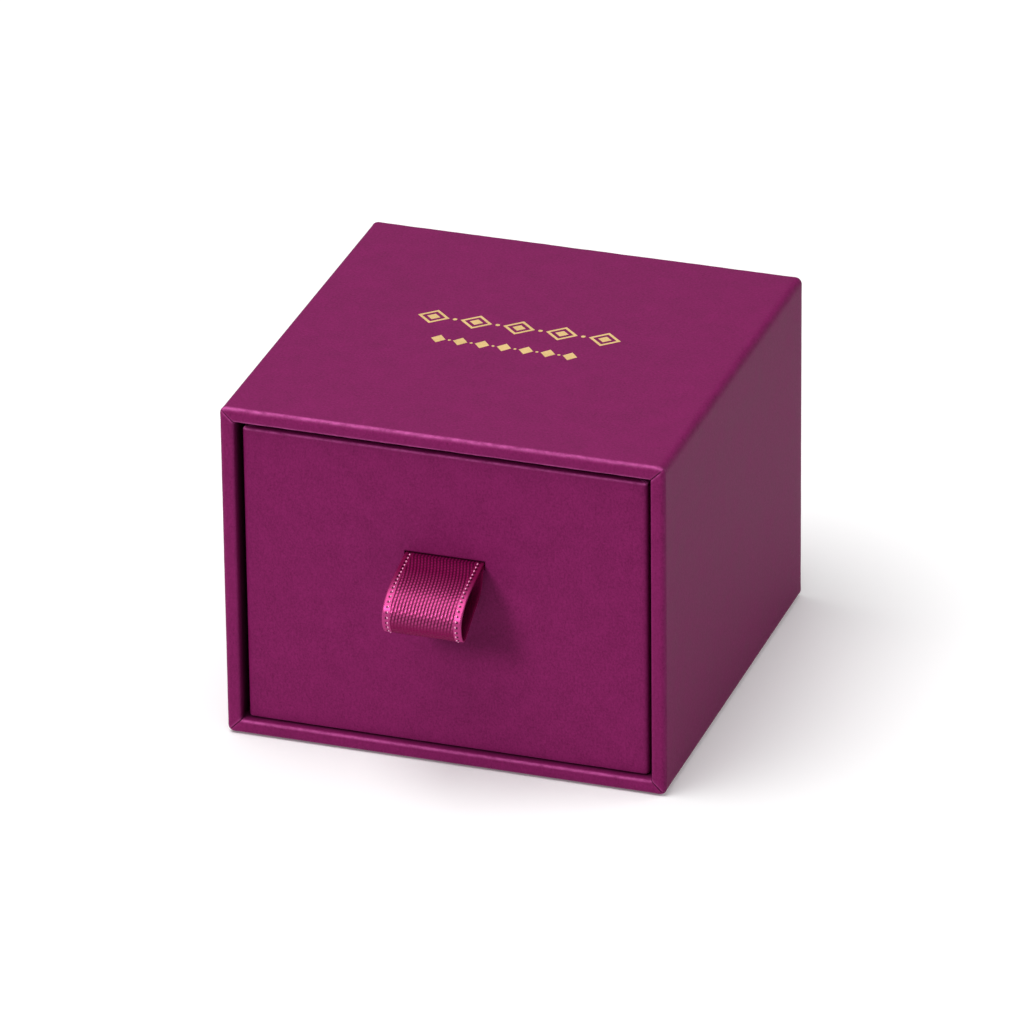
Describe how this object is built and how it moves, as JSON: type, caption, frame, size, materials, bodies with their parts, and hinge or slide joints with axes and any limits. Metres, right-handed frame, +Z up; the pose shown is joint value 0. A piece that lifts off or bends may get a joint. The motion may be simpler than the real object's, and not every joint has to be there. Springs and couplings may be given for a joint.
{
  "type": "drawer jewelry box",
  "caption": "Small paper-wrapped rigid board box: an open-fronted sleeve holding a lined drawer with a ring pad insert, pulled out by a folded ribbon loop.",
  "frame": {"origin": "middle of the sleeve's underside, where the box rests", "axes": "+Z up, +Y towards the closed back, so the drawer slides out along -Y; +X to the right seen from the front"},
  "size_m": [0.07, 0.0797, 0.055],
  "materials": {
    "plum_paper": "satin",
    "lining_paper": "matte",
    "greyboard": "matte",
    "stay_tape": "matte",
    "satin_ribbon": "satin",
    "pad_foam": "matte",
    "pad_velvet": "matte"
  },
  "bodies": {
    "sleeve": {"sleeve_wrap": "plum_paper", "sleeve_base_sheet": "plum_paper", "sleeve_back_sheet": "plum_paper", "sleeve_lining": "lining_paper", "sleeve_top_board": "greyboard", "sleeve_bottom_board": "greyboard", "sleeve_left_board": "greyboard", "sleeve_right_board": "greyboard", "sleeve_back_board": "greyboard", "sleeve_corner_tapes": "stay_tape"},
    "drawer": {"drawer_wrap": "plum_paper", "drawer_wall_lining": "lining_paper", "drawer_floor_lining": "lining_paper", "ribbon_patch": "lining_paper", "drawer_base_board": "greyboard", "drawer_front_board": "greyboard", "drawer_back_board": "greyboard", "drawer_left_board": "greyboard", "drawer_right_board": "greyboard", "insert_card": "greyboard", "drawer_corner_tapes": "stay_tape", "ribbon_tails": "satin_ribbon", "insert_front_foam": "pad_foam", "insert_rear_foam": "pad_foam", "insert_front_velvet": "pad_velvet", "insert_rear_velvet": "pad_velvet"},
    "ribbon_pull": {"ribbon_loop": "satin_ribbon"}
  },
  "joints": [
    {"name": "drawer_slide", "type": "slide", "parent": "sleeve", "child": "drawer", "axis": [0, -1, 0], "range_m": [0, 0.068]},
    {"name": "ribbon_swing", "type": "hinge", "parent": "drawer", "child": "ribbon_pull", "pos_m": [0, -0.0339, 0.034], "axis": [-1, 0, 0], "range_deg": [-18, 37], "stiffness_Nm_per_rad": 0.0002}
  ]
}
